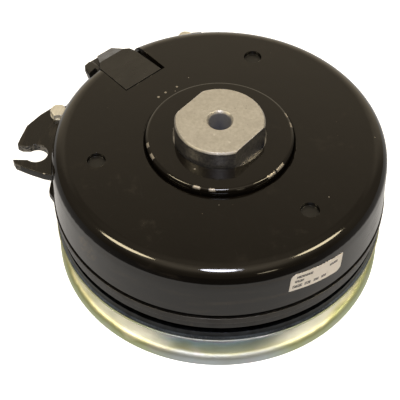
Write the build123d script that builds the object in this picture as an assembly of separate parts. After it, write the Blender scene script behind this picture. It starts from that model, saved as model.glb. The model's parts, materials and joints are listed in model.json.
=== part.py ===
from build123d import *
import os
from math import atan2, cos, degrees, hypot, radians, sin

# Electromagnetic clutch with a permanent magnet brake and a belt pulley.
# Millimetres. The axis of rotation is +Z. The origin is the centre of the shaft bore's mouth,
# at the pulley end of the hub, and the field shell's closed face points up.
# Directions round the axis are in degrees from +X towards +Y.

# ---------------------------------------------------------------- driving dimensions

# Heights of the faces that set the stack
shell_top = 76.0
shell_bottom = 44.2
hub_top = 90.4
boss_top = 80.2
rotor_top = 41.9
rotor_bottom = 37.8
armature_top = 37.3
armature_bottom = 32.6
drive_plate_top = 27.4
drive_plate_bottom = 22.2
web_joint = 11.5
rim_corner = 5.0
rim_bottom = -1.0
rim_round = 4.2

# Hub and shaft
shaft_bore_radius = 14.3
shaft_bore_depth = 74.0
keyway_width = 6.35
keyway_outer = 17.5
bolt_hole_radius = 5.75
journal_radius = 20.0
hub_head_radius = 23.5
flats_across = 40.8
flats_direction = -40.7
flats_bottom = 76.4

# Bearings, both 40 x 68 x 15
bearing_outer = 34.0
bearing_width = 15.0
pitch_radius = 27.0
ball_radius = 3.97
ball_count = 12
field_bearing_bottom = 61.4
pulley_bearing_bottom = 5.0

# Field shell and coil
shell_radius_bottom = 89.0
shell_radius_top = 87.5
shell_shoulder = 8.35
shell_wall = 3.5
boss_radius = 38.6
boss_hole_radius = 24.4
boss_rim_round = 1.8
boss_groove_round = 1.8
inner_pole_radius = 42.0
coil_inner = 44.5
coil_outer = 76.0
coil_bottom = 48.0
coil_top = 70.5
peg_circle = 65.0
peg_directions = (73.0, 193.0, 313.0)
peg_hole_radius = 4.8
peg_recess = 1.8

# Connector, in a frame that points out along its own direction
connector_direction = 131.7
notch_inner = 59.8
notch_half_width = 13.7

# Torque bracket
bracket_top = 61.5
bracket_thickness = 4.8
bracket_inner = 88.5
fork_direction = 178.0
slot_width = 9.6
slot_bulge_radius = 6.2
slot_bulge_centre = 97.4
bracket_outer = 92.6
brake_bolt_circle = 93.0
brake_bolt_directions = (101.5, 160.0)

# Rotating plates
rotor_radius = 89.5
armature_radius = 88.6
armature_inner = 48.0
drive_plate_radius = 88.9
drive_plate_waist = 87.9
pulley_radius = 89.4
lip_radius = 89.4
sheet = 2.8

# Leaf springs
spring_circle = 64.0
spring_directions = (30.0, 150.0, 270.0)

middle_of_bracket = bracket_top - bracket_thickness / 2
bracket_bottom = bracket_top - bracket_thickness


# ---------------------------------------------------------------- helpers

def turned(outline):
    """Solid of revolution of a closed (radius, height) outline."""
    points = [(radius, 0, height) for radius, height in outline]
    return revolve(make_face(Polyline(*points, close=True)), Axis.Z, 360)


def ring(inner, outer, low, high):
    """Plain ring between two radii and two heights."""
    return turned([(inner, low), (outer, low), (outer, high), (inner, high)])


def disc(radius, low, high, x=0, y=0):
    """Upright cylinder on (x, y)."""
    return Pos(x, y, low) * Cylinder(radius, high - low, align=(Align.CENTER, Align.CENTER, Align.MIN))


def block(x_low, x_high, y_low, y_high, z_low, z_high):
    """Box from its six faces."""
    size = (x_high - x_low, y_high - y_low, z_high - z_low)
    return Pos(x_low, y_low, z_low) * Box(*size, align=(Align.MIN, Align.MIN, Align.MIN))


def prism(outline, low, high):
    """Upright prism of a closed (x, y) outline."""
    return extrude(Pos(0, 0, low) * make_face(Polyline(*outline, close=True)), high - low)


def around(direction, solid):
    """Turn a solid made about +X to a direction round the axis."""
    return Rot(0, 0, direction) * solid


def on_circle(radius, direction):
    """Plan position at a radius and a direction."""
    return (radius * cos(radians(direction)), radius * sin(radians(direction)))


def arc_points(radius, start, end, step=4.0):
    """Points along an arc, for the curved side of a prism that a ring then trims."""
    count = max(1, round(abs(end - start) / step))
    return [on_circle(radius, start + (end - start) * index / count) for index in range(count + 1)]


def sector(start, end, low, high, reach=130.0):
    """Wedge from the axis between two directions."""
    return prism([(0, 0)] + arc_points(reach, start, end, 30.0), low, high)


def curved_slot(radius, width, start, end, low, high):
    """Banana slot with round ends along a circle."""
    body = ring(radius - width / 2, radius + width / 2, low, high) & sector(start, end, low, high)
    ends = [disc(width / 2, low, high, *on_circle(radius, direction)) for direction in (start, end)]
    return body + ends[0] + ends[1]


def together(solids):
    """Separate solids kept as one group."""
    return Compound(children=[solid for piece in solids for solid in piece.solids()])


def top_edges(solid, height):
    """Round edges that lie at one height."""
    return solid.edges().filter_by(GeomType.CIRCLE).filter_by_position(Axis.Z, height - 0.01, height + 0.01)


def wall_radius(height):
    """Outer radius of the shell's slightly tapered wall."""
    share = (height - shell_bottom) / (shell_top - shell_bottom)
    return shell_radius_bottom + (shell_radius_top - shell_radius_bottom) * share


parts = {}


# ---------------------------------------------------------------- field assembly

def make_field_shell():
    """Drawn cup: tapered wall, rounded shoulder, centre hole, three peg holes, connector notch."""
    outside = turned([(0, shell_bottom), (shell_radius_bottom, shell_bottom), (shell_radius_top, shell_top),
                      (0, shell_top)])
    outside = fillet(top_edges(outside, shell_top), shell_shoulder)
    inside_top = shell_top - shell_wall
    inside = turned([(0, shell_bottom - 1), (shell_radius_bottom - shell_wall, shell_bottom - 1),
                     (shell_radius_top - shell_wall, inside_top), (0, inside_top)])
    inside = fillet(top_edges(inside, inside_top), shell_shoulder - shell_wall)
    shell = outside - inside - disc(boss_radius, shell_bottom, shell_top + 1)
    hole_edge = [edge for edge in top_edges(shell, shell_top) if edge.radius < boss_radius + 0.1]
    shell = fillet(hole_edge, boss_groove_round)
    for direction in peg_directions:
        shell -= disc(peg_hole_radius, inside_top - 1, shell_top + 1, *on_circle(peg_circle, direction))
    notch = block(notch_inner, 95, -notch_half_width, notch_half_width, bracket_top, shell_top + 1)
    shell -= around(connector_direction, notch)
    return shell


def make_inner_pole():
    """Turned inner pole: bearing seat inside, raised centre boss on top, lip over the bearing."""
    shoulder = shell_top - shell_wall
    bearing_top = field_bearing_bottom + bearing_width
    groove = field_bearing_bottom
    pole = turned([(bearing_outer, shell_bottom), (inner_pole_radius, shell_bottom),
                   (inner_pole_radius, shoulder), (boss_radius, shoulder), (boss_radius, boss_top),
                   (boss_hole_radius, boss_top),
                   (boss_hole_radius, bearing_top), (bearing_outer, bearing_top), (bearing_outer, groove),
                   (bearing_outer + 1.5, groove), (bearing_outer + 1.5, groove - 2.6),
                   (bearing_outer, groove - 2.6)])
    rim = top_edges(pole, boss_top).sort_by(SortBy.RADIUS)[-1]
    return fillet([rim], boss_rim_round)


def make_bobbin():
    """Coil bobbin: tube, two flanges and three pegs that show through the shell's holes."""
    bobbin = ring(coil_inner - 1.5, coil_inner, coil_bottom - 1.5, coil_top + 1.5)
    bobbin += ring(coil_inner, coil_outer, coil_bottom - 1.5, coil_bottom)
    bobbin += ring(coil_inner, coil_outer, coil_top, coil_top + 1.5)
    for direction in peg_directions:
        x, y = on_circle(peg_circle, direction)
        bobbin += disc(peg_hole_radius - 0.25, coil_top + 1.5, shell_top - peg_recess, x, y)
    return bobbin


def make_potting():
    """Cast resin between the winding and the wall, open where the connector stands."""
    top = shell_top - shell_wall - 0.3
    outer = wall_radius(top) - shell_wall - 0.6
    potting = ring(coil_outer + 0.1, outer, 57.0, top)
    corner = [edge for edge in top_edges(potting, top) if edge.radius > coil_outer + 2]
    potting = fillet(corner, 4.4)
    gap = block(60, 95, -notch_half_width - 1, notch_half_width + 8, 56, shell_top)
    return potting - around(connector_direction, gap)


# Plan outlines of the connector, seen along its own direction: flat top, sloped end, and round lug
connector_plan = ((61.5, -12.2), (82.0, -10.9), (85.6, -9.8), (87.6, -7.0), (87.6, 10.0), (83.5, 12.6),
                  (61.5, 12.4))
connector_nose = ((80.0, -7.0), (87.6, -7.0), (97.5, -5.9), (97.5, 4.3), (87.6, 10.0), (80.0, 10.0))
connector_lug = ((84.0, 9.5), (93.6, 10.2), (95.0, 12.4), (94.2, 16.2), (91.0, 18.4), (86.6, 18.8),
                 (84.0, 17.0))
connector_top = 74.9
connector_bottom = 62.2
connector_end = 97.5
slope_end = 69.4
ledge_top = 69.3
lug_top = 73.0
lug_taper = 12.0
socket_sides = (-4.4, 4.2)
socket_low = 63.6
socket_high = 68.4


def make_connector():
    """Connector housing: flat top, sloped end with the socket under it, a ledge and a tapered lug."""
    housing = prism(connector_plan, connector_bottom, connector_top)
    housing -= block(50, 77.0, -20, 30, connector_bottom - 1, coil_top + 1.6)
    nose = prism(connector_nose, connector_bottom, connector_top)
    above = [(87.6, connector_top), (connector_end, slope_end), (connector_end + 1, slope_end),
             (connector_end + 1, 80), (87.6, 80)]
    wedge = make_face(Polyline(*[(x, -20, z) for x, z in above], close=True))
    housing += nose - extrude(wedge, amount=40, dir=(0, 1, 0))
    housing += block(83.0, 96.6, 2.0, 12.5, connector_bottom, ledge_top)
    lug_face = make_face(Polyline(*connector_lug, close=True))
    lug_height = lug_top - connector_bottom
    lug = extrude(Pos(0, 0, lug_top) * lug_face, amount=lug_height, dir=(0, 0, -1), taper=lug_taper)
    housing += fillet(lug.edges().group_by(Axis.Z)[-1], 1.6)
    beside_wall = block(60, 100, notch_half_width - 0.4, 30, connector_bottom - 1, shell_top)
    housing -= beside_wall & disc(88.6, connector_bottom - 1, shell_top)
    housing -= block(82.0, connector_end + 1, *socket_sides, socket_low, socket_high)
    for piece in make_terminals() + make_leads():
        housing -= piece
    return housing


terminal_centres = (-2.0, 2.4)


def make_terminals():
    """Two blade terminals in the socket, with tails through the inner wall."""
    return [block(79.0, 89.0, centre - 1.2, centre + 1.2, 65.6, 66.4) for centre in terminal_centres]


def make_leads():
    """Two short lead wires from the winding to the terminal tails."""
    start = coil_outer + 0.05
    wire = Rot(0, 90, 0) * Cylinder(0.8, 79.0 - start, align=(Align.CENTER, Align.CENTER, Align.MIN))
    return [Pos(start, centre, 66.0) * wire for centre in terminal_centres]


# Outline of the fork: distance out along its direction, then offset towards the back
fork_outline = ((80.0, 36.0), (86.0, 35.6), (92.9, 34.2), (98.9, 28.2), (105.0, 19.9), (107.5, 10.2),
                (108.3, 6.2), (105.6, slot_width / 2), (105.6, 0.0), (109.0, 0.0), (109.3, -slot_width / 2),
                (107.4, -8.0), (99.0, -11.8), (92.0, -14.4), (86.0, -15.6), (80.0, -16.0))


def make_bracket():
    """Thick torque bracket: band round the shell, fork with a keyhole slot, ear at the back."""
    low, high = bracket_bottom, bracket_top
    band = ring(bracket_inner, bracket_outer, low, high) & sector(95.4, fork_direction, low, high)
    ear = arc_points(99.5, 95.4, 101.5)
    ear += [on_circle(97.0, 107.2), on_circle(bracket_outer, 113.0)]
    ear += [on_circle(80, 113.0), on_circle(80, 95.4)]
    fork = around(fork_direction, prism([(s, -c) for s, c in fork_outline], low, high))
    bracket = band + prism(ear, low, high) + fork
    bracket -= disc(bracket_inner, low - 1, high + 1)
    slot = block(slot_bulge_centre, 115, -slot_width / 2, slot_width / 2, low - 1, high + 1)
    slot += disc(slot_bulge_radius, low - 1, high + 1, slot_bulge_centre, 0)
    bracket -= around(fork_direction, slot)
    for direction in brake_bolt_directions:
        bracket -= disc(2.65, low - 1, high + 1, *on_circle(brake_bolt_circle, direction))
    return bracket


def make_welds():
    """Fillet weld beads under the bracket, against the shell's wall."""
    beads = []
    for start, end in ((107, 116), (126, 136), (143, 153), (167, 177)):
        wall = wall_radius(bracket_bottom)
        foot = bracket_bottom - 3.2
        bead = turned([(wall, bracket_bottom), (wall + 3.2, bracket_bottom), (wall + 2.2, foot + 1.6),
                       (wall_radius(foot), foot)])
        beads.append(bead & sector(start, end, bracket_bottom - 5, bracket_bottom + 1))
    return beads


# Brake: pole plate beside the armature, hung from the bracket on spacers
pole_top = armature_bottom - 0.03
pole_bottom = 28.0
shim_top = pole_top + 0.6


def make_brake_bolts():
    """Flanged hexagon bolts from the bracket down to the brake pole."""
    bolts = []
    for direction in brake_bolt_directions:
        x, y = on_circle(brake_bolt_circle, direction)
        flange = disc(4.65, bracket_top, bracket_top + 0.8, x, y)
        hexagon = extrude(Pos(x, y, bracket_top) * RegularPolygon(4.0, 6, major_radius=False), 3.7)
        corners = turned([(0, 0), (4.65, 0), (4.65, 3.2), (4.1, 3.7), (0, 3.7)])
        head = hexagon & (Pos(x, y, bracket_top) * corners)
        bolts.append(head + flange + disc(2.5, pole_bottom, bracket_top, x, y))
    return bolts


def make_brake_spacers():
    """Tubes that set the height of the brake pole."""
    spacers = []
    for direction in brake_bolt_directions:
        x, y = on_circle(brake_bolt_circle, direction)
        spacers.append(disc(3.4, shim_top, bracket_bottom, x, y) - disc(2.6, shim_top - 1, bracket_top, x, y))
    return spacers


def make_brake_shims():
    """Removable shims under the spacers, with a pull tab."""
    shims = []
    for direction in brake_bolt_directions:
        shim = disc(3.4, pole_top, shim_top, brake_bolt_circle)
        shim += block(brake_bolt_circle, brake_bolt_circle + 6.5, -3.0, 3.0, pole_top, shim_top)
        shim -= disc(2.6, pole_top - 1, shim_top + 1, brake_bolt_circle)
        shims.append(around(direction, shim))
    return shims


def make_brake_pole():
    """Curved steel pole under the armature's edge, with ears for the bolts and a magnet pocket."""
    pole = ring(76.0, 93.2, pole_bottom, pole_top) & sector(95.0, 183.2, pole_bottom, pole_top)
    corner = [on_circle(93.6, 179.0), on_circle(89.6, 183.2), on_circle(90.0, 190.0), on_circle(110.0, 185.0)]
    pole -= prism(corner, pole_bottom - 1, pole_top + 1)
    for direction in brake_bolt_directions:
        x, y = on_circle(brake_bolt_circle, direction)
        pole += disc(5.0, pole_bottom, pole_top, x, y)
    for direction in brake_bolt_directions:
        x, y = on_circle(brake_bolt_circle, direction)
        pole -= disc(2.5, pole_bottom - 1, pole_top + 1, x, y)
    return pole - curved_slot(83.0, 6.0, 112, 152, pole_top - 3.0, pole_top + 1)


def make_label():
    """Thin printed label that follows the shell's wall."""
    low, high = 46.0, 70.0
    inner_low, inner_high = wall_radius(low) + 0.02, wall_radius(high) + 0.02
    skin = turned([(inner_low, low), (inner_low + 0.2, low), (inner_high + 0.2, high), (inner_high, high)])
    outline = Rectangle(31.5, 12.0)
    left_to_right = outline.vertices().sort_by(Axis.X)
    upper_left = left_to_right[:2].sort_by(Axis.Y)[-1]
    lower_right = left_to_right[2:].sort_by(Axis.Y)[0]
    outline = Rot(0, 0, -6.2) * fillet([upper_left, lower_right], 3.4)
    plane = Plane(origin=(0, 0, 59.2), x_dir=(0, 1, 0), z_dir=(1, 0, 0))
    stamp = extrude(plane * outline, 100)
    return around(-57.4, skin & stamp)


# ---------------------------------------------------------------- bearings

def make_inner_race(low):
    """Inner race with a ball groove."""
    middle = low + bearing_width / 2
    race = ring(journal_radius, 24.6, low, low + bearing_width)
    return race - Pos(0, 0, middle) * Torus(pitch_radius, ball_radius + 0.06)


def make_outer_race(low):
    """Outer race with a ball groove and a seat for a seal at each end."""
    middle = low + bearing_width / 2
    race = ring(29.4, bearing_outer, low, low + bearing_width)
    race -= Pos(0, 0, middle) * Torus(pitch_radius, ball_radius + 0.06)
    race -= ring(29.0, 30.8, low - 1, low + 1.5)
    return race - ring(29.0, 30.8, low + bearing_width - 1.5, low + bearing_width + 1)


def make_balls(low):
    """The ring of balls."""
    middle = low + bearing_width / 2
    centres = [on_circle(pitch_radius, index * 360 / ball_count) for index in range(ball_count)]
    return [Pos(x, y, middle) * Sphere(ball_radius) for x, y in centres]


def make_cage(low):
    """Cage that keeps the balls apart."""
    middle = low + bearing_width / 2
    cage = ring(25.8, 28.2, middle - 5.2, middle + 5.2)
    pocket = Pos(20, 0, middle) * Rot(0, 90, 0) * Cylinder(ball_radius + 0.15, 20)
    for index in range(ball_count):
        cage -= around(index * 360 / ball_count, pocket)
    return cage


def make_seals(low):
    """The two rubber seals, pressed into the outer race."""
    high = low + bearing_width
    return [ring(24.8, 30.78, low + 0.4, low + 1.48), ring(24.8, 30.78, high - 1.48, high - 0.4)]


def make_snap_ring(inner, outer, low, high, gap_direction):
    """Open retaining ring."""
    gap = block(0, outer + 5, -3.0, 3.0, low - 1, high + 1)
    return ring(inner, outer, low, high) - around(gap_direction, gap)


# ---------------------------------------------------------------- rotor and hub

def make_hub():
    """Hub: keyed shaft bore from below, bolt hole through the head, two wrench flats."""
    shoulder = field_bearing_bottom + bearing_width
    hub = turned([(0, 0), (journal_radius, 0), (journal_radius, 3.1), (journal_radius - 1.2, 3.1),
                  (journal_radius - 1.2, 4.9), (journal_radius, 4.9), (journal_radius, shoulder),
                  (hub_head_radius, shoulder), (hub_head_radius, hub_top), (0, hub_top)])
    hub = chamfer(top_edges(hub, hub_top), 1.0)
    hub = chamfer(top_edges(hub, 0), 1.0)
    for side in (0, 180):
        cut = block(flats_across / 2, 40, -40, 40, flats_bottom, hub_top + 1)
        hub -= around(flats_direction + side, cut)
    hub -= disc(shaft_bore_radius, -1, shaft_bore_depth)
    hub -= block(0, keyway_outer, -keyway_width / 2, keyway_width / 2, -1, 68.0)
    mouth = bolt_hole_radius + 1.3
    bolt_hole = turned([(0, 70), (bolt_hole_radius, 70), (bolt_hole_radius, hub_top - 1.3), (mouth, hub_top),
                        (mouth, hub_top + 1), (0, hub_top + 1)])
    return hub - bolt_hole


def make_rotor():
    """Rotor: hub in the inner pole, disc with curved slots, rim inside the shell's mouth."""
    pole_gap = 0.6
    rim_outer = shell_radius_bottom - shell_wall - pole_gap - 0.6
    rim_inner = rim_outer - 3.4
    tube = bearing_outer - pole_gap
    rotor = turned([(journal_radius, rotor_bottom), (rotor_radius, rotor_bottom), (rotor_radius, rotor_top),
                    (rim_outer, rotor_top), (rim_outer, 53.0), (rim_inner, 53.0), (rim_inner, rotor_top),
                    (tube, rotor_top), (tube, 58.3), (25.0, 58.3), (25.0, field_bearing_bottom),
                    (journal_radius, field_bearing_bottom)])
    rotor -= ring(57.0, 67.0, rotor_bottom - 1, rotor_bottom + 2.5)
    for index in range(6):
        start = index * 60 + 6
        rotor -= curved_slot(51.5, 4.0, start, start + 46, rotor_bottom - 1, rotor_top + 1)
        rotor -= curved_slot(73.0, 4.0, start, start + 48, rotor_bottom - 1, rotor_top + 1)
    return rotor


# ---------------------------------------------------------------- pulley and armature

def make_lower_half():
    """Lower pulley half: flat web, sloping flange and a thick rim."""
    web_bottom = web_joint - sheet
    flange_end = 84.6
    half = turned([(40.2, web_bottom), (60.6, web_bottom), (flange_end, 3.2), (flange_end, rim_bottom),
                   (pulley_radius, rim_bottom), (pulley_radius, rim_corner), (60.0, web_joint),
                   (40.2, web_joint)])
    return fillet(top_edges(half, rim_corner), rim_round)


def make_upper_half():
    """Upper pulley half: flat web, sloping flange and a thin lip under the drive plate's edge."""
    web_top = web_joint + sheet
    lip_top = drive_plate_bottom - 0.05
    return turned([(40.2, web_joint), (60.0, web_joint), (84.0, 19.9), (lip_radius, lip_top - 0.95),
                   (lip_radius, lip_top), (82.5, lip_top), (60.0, web_top), (40.2, web_top)])


def make_pulley_hub():
    """Pulley hub: bearing seat with a lip above, snap ring groove below, flange for the rivets."""
    low = pulley_bearing_bottom
    high = low + bearing_width
    groove = low - 2.6
    flange_bottom = web_joint + sheet
    return turned([(bearing_outer, 1.0), (40.0, 1.0), (40.0, flange_bottom), (57.0, flange_bottom),
                   (57.0, drive_plate_bottom), (31.0, drive_plate_bottom), (31.0, high),
                   (bearing_outer, high), (bearing_outer, low), (bearing_outer + 1.5, low),
                   (bearing_outer + 1.5, groove), (bearing_outer, groove)])


def rivet(x, y, low, high, radius, head_radius, head_height):
    """Rivet with a low round head at each end."""
    shank = disc(radius, low, high, x, y)
    top = disc(head_radius, high, high + head_height, x, y)
    top = fillet(top_edges(top, high + head_height), head_height * 0.6)
    bottom = disc(head_radius, low - head_height, low, x, y)
    bottom = fillet(top_edges(bottom, low - head_height), head_height * 0.6)
    return shank + top + bottom


rivet_circle = 48.5
rivet_directions = [index * 60 + 15 for index in range(6)]


def drilled(solid, circle, directions, radius):
    """Solid with a hole at each direction on a circle."""
    for direction in directions:
        solid -= disc(radius, -5, 100, *on_circle(circle, direction))
    return solid


# The two ends of each leaf spring lie this far either side of its middle
spring_end = 20.0
spring_thickness = 0.8


def spring_place(direction, side):
    """Plan position of one end of a leaf spring."""
    reach = hypot(spring_circle, spring_end)
    return on_circle(reach, direction + side * degrees(atan2(spring_end, spring_circle)))


def make_springs():
    """Leaf springs: one end on the drive plate, the other under the armature."""
    low = drive_plate_top
    high = armature_bottom - spring_thickness
    path = [(-27, low), (-11, low), (11, high), (27, high), (27, high + spring_thickness),
            (10.7, high + spring_thickness), (-11.3, low + spring_thickness), (-27, low + spring_thickness)]
    face = make_face(Polyline(*[(spring_circle - 6, y, z) for y, z in path], close=True))
    strip = extrude(face, amount=12, dir=(1, 0, 0))
    strip -= disc(2.5, 20, 40, spring_circle, -spring_end)
    strip -= disc(2.5, 20, 40, spring_circle, spring_end)
    return [around(direction, strip) for direction in spring_directions]


def make_drive_rivets():
    """Rivets that hold the leaf springs to the drive plate."""
    low, high = drive_plate_bottom, drive_plate_top + spring_thickness
    return [rivet(*spring_place(direction, -1), low, high, 2.5, 4.2, 1.4) for direction in spring_directions]


def make_pulley_rivets():
    """Rivets through both pulley halves, the hub's flange and the drive plate."""
    low, high = web_joint - sheet, drive_plate_top
    centres = [on_circle(rivet_circle, direction) for direction in rivet_directions]
    return [rivet(x, y, low, high, 3.0, 5.0, 1.8) for x, y in centres]


def make_armature_rivets():
    """Rivets that hold the leaf springs to the armature, sunk flush in its top face."""
    rivets = []
    for direction in spring_directions:
        x, y = spring_place(direction, 1)
        low = armature_bottom - spring_thickness
        shank = disc(2.5, low, armature_top - 0.2, x, y)
        head = disc(4.2, low - 1.4, low, x, y)
        sunk = disc(4.0, armature_top - 2.0, armature_top - 0.2, x, y)
        rivets.append(shank + head + sunk)
    return rivets


def make_armature():
    """Armature plate with one ring of curved slots and the rivet holes."""
    armature = ring(armature_inner, armature_radius, armature_bottom, armature_top)
    for index in range(6):
        start = index * 60 + 36
        armature -= curved_slot(58.0, 4.0, start, start + 40, armature_bottom - 1, armature_top + 1)
    for direction in spring_directions:
        x, y = spring_place(direction, 1)
        armature -= disc(2.5, armature_bottom - 1, armature_top + 1, x, y)
        armature -= disc(4.0, armature_top - 2.0, armature_top + 1, x, y)
    return armature


# ---------------------------------------------------------------- all nodes

parts["field_shell"] = make_field_shell()
parts["inner_pole"] = make_inner_pole()
parts["coil_bobbin"] = make_bobbin()
parts["coil_winding"] = ring(coil_inner, coil_outer, coil_bottom, coil_top)
parts["coil_potting"] = make_potting()
parts["connector_housing"] = around(connector_direction, make_connector())
parts["connector_terminals"] = together([around(connector_direction, blade) for blade in make_terminals()])
parts["coil_leads"] = together([around(connector_direction, wire) for wire in make_leads()])
parts["torque_bracket"] = make_bracket()
parts["bracket_welds"] = together(make_welds())
parts["brake_bolts"] = together(make_brake_bolts())
parts["brake_spacers"] = together(make_brake_spacers())
parts["brake_shims"] = together(make_brake_shims())
parts["brake_pole"] = make_brake_pole()
parts["brake_magnet"] = curved_slot(83.0, 5.8, 112.2, 151.8, pole_top - 3.0, pole_top - 0.3)
parts["rating_label"] = make_label()
parts["field_bearing_outer_race"] = make_outer_race(field_bearing_bottom)
parts["field_bearing_seals"] = together(make_seals(field_bearing_bottom))
parts["field_bearing_snap_ring"] = make_snap_ring(30.6, bearing_outer + 1.4, field_bearing_bottom - 2.5,
                                                  field_bearing_bottom, 40)
parts["field_bearing_balls"] = together(make_balls(field_bearing_bottom))
parts["field_bearing_cage"] = make_cage(field_bearing_bottom)
parts["rotor_hub"] = make_hub()
parts["rotor_disc"] = make_rotor()
parts["friction_lining"] = ring(57.0, 67.0, rotor_bottom, rotor_bottom + 2.5)
parts["field_bearing_inner_race"] = make_inner_race(field_bearing_bottom)
parts["pulley_bearing_inner_race"] = make_inner_race(pulley_bearing_bottom)
parts["bearing_spacer"] = ring(journal_radius, 24.0, pulley_bearing_bottom + bearing_width, rotor_bottom)
parts["hub_snap_ring"] = make_snap_ring(journal_radius - 1.2, 23.5, 3.2, 4.8, 200)
parts["pulley_bearing_balls"] = together(make_balls(pulley_bearing_bottom))
parts["pulley_bearing_cage"] = make_cage(pulley_bearing_bottom)
parts["pulley_lower_half"] = drilled(make_lower_half(), rivet_circle, rivet_directions, 3.0)
parts["pulley_upper_half"] = drilled(make_upper_half(), rivet_circle, rivet_directions, 3.0)
parts["pulley_hub"] = drilled(make_pulley_hub(), rivet_circle, rivet_directions, 3.0)
drive_plate = turned([(41.0, drive_plate_bottom), (drive_plate_radius, drive_plate_bottom),
                      (drive_plate_waist + 0.3, drive_plate_bottom + 1.1),
                      (drive_plate_waist, drive_plate_bottom + 2.6), (drive_plate_waist, drive_plate_top),
                      (41.0, drive_plate_top)])
drive_plate = drilled(drive_plate, rivet_circle, rivet_directions, 3.0)
for spring_direction in spring_directions:
    drive_plate -= disc(2.5, 20, 30, *spring_place(spring_direction, -1))
parts["drive_plate"] = drive_plate
parts["pulley_rivets"] = together(make_pulley_rivets())
parts["pulley_bearing_outer_race"] = make_outer_race(pulley_bearing_bottom)
parts["pulley_bearing_seals"] = together(make_seals(pulley_bearing_bottom))
parts["pulley_bearing_snap_ring"] = make_snap_ring(30.6, bearing_outer + 1.4, pulley_bearing_bottom - 2.5,
                                                   pulley_bearing_bottom, 300)
parts["leaf_springs"] = together(make_springs())
parts["drive_side_rivets"] = together(make_drive_rivets())
parts["armature_plate"] = make_armature()
parts["armature_side_rivets"] = together(make_armature_rivets())

os.makedirs("parts", exist_ok=True)
for name, solid in parts.items():
    export_step(solid, f"parts/{name}.step")
    print(name, len(solid.solids()), round(solid.volume))
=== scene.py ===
import json
from math import cos, pi, radians, sin, sqrt

import bmesh
import bpy
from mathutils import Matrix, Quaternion, Vector

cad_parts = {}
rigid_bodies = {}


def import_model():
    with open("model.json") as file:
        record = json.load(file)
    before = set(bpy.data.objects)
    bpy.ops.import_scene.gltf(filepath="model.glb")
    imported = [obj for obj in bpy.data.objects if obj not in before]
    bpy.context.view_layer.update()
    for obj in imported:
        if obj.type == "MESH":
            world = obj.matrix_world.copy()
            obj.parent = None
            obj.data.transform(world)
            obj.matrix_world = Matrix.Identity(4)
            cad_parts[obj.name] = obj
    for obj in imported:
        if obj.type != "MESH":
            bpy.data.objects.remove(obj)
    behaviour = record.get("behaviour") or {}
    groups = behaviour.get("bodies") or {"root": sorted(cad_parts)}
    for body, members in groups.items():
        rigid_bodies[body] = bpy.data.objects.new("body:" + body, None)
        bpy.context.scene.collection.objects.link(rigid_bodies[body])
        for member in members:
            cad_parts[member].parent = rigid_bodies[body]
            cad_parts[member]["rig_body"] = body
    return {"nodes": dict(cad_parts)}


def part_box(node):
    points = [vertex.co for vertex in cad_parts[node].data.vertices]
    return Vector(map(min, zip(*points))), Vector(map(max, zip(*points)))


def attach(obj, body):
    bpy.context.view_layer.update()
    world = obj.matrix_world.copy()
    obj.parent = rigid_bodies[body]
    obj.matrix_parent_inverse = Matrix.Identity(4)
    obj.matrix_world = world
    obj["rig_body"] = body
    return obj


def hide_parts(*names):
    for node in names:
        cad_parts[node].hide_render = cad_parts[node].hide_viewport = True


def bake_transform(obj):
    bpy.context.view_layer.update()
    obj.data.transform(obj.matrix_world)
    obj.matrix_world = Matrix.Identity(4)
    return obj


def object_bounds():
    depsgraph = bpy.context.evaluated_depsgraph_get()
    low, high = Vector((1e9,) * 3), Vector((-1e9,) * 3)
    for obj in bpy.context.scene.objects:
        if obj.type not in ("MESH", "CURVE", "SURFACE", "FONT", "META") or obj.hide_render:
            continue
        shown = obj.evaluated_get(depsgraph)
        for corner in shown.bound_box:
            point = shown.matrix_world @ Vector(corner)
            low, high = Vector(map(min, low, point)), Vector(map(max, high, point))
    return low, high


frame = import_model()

# Looks of an electromagnetic clutch: a black cup with the coil on top, a steel hub through it,
# a torque bracket with a brake at the back, and a zinc plated belt pulley below.
# The frame is in metres. Materials and the small helpers work in millimetres.

MM = 0.001
cad_low, cad_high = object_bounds()


def bottom_of(node):
    """Height of a node's lowest point, in millimetres."""
    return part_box(node)[0].z / MM


def top_of(node):
    """Height of a node's highest point, in millimetres."""
    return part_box(node)[1].z / MM


SHELL_TOP = top_of("field_shell")
BOSS_TOP = top_of("inner_pole")
HUB_TOP = top_of("rotor_hub")
BRACKET_TOP = top_of("torque_bracket")
PLATE_BOTTOM = bottom_of("drive_plate")


# ---------------------------------------------------------------- node graphs

class Nodes:
    """A node tree, built with short calls."""

    def __init__(self, tree):
        self.tree = tree
        tree.nodes.clear()

    def node(self, kind, *values, **settings):
        made = self.tree.nodes.new("ShaderNode" + kind)
        for key, value in settings.items():
            setattr(made, key, value)
        for value, socket in zip(values, made.inputs):
            self.join(value, socket)
        return made

    def join(self, value, socket):
        if isinstance(value, bpy.types.NodeSocket):
            self.tree.links.new(value, socket)
        elif value is not None:
            socket.default_value = value

    def math(self, operation, *values):
        return self.node("Math", *values, operation=operation).outputs[0]

    def vector(self, operation, *values):
        return self.node("VectorMath", *values, operation=operation).outputs[0]

    def fade(self, value, low, high, to_low=0.0, to_high=1.0):
        """Smooth step from to_low to to_high as value goes from low to high."""
        made = self.node("MapRange", value, low, high, to_low, to_high, interpolation_type="SMOOTHSTEP")
        return made.outputs[0]

    def mix(self, share, first, second):
        """Colour between two colours."""
        made = self.node("Mix", data_type="RGBA")
        self.join(share, made.inputs[0])
        self.join(first, made.inputs[6])
        self.join(second, made.inputs[7])
        return made.outputs[2]

    def ramp(self, value, *stops):
        """Colour ramp of (position, colour) stops."""
        made = self.node("ValToRGB", value)
        elements = made.color_ramp.elements
        while len(elements) < len(stops):
            elements.new(0.5)
        for element, (position, colour) in zip(elements, stops):
            element.position = position
            element.color = colour
        return made.outputs[0]


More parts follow.
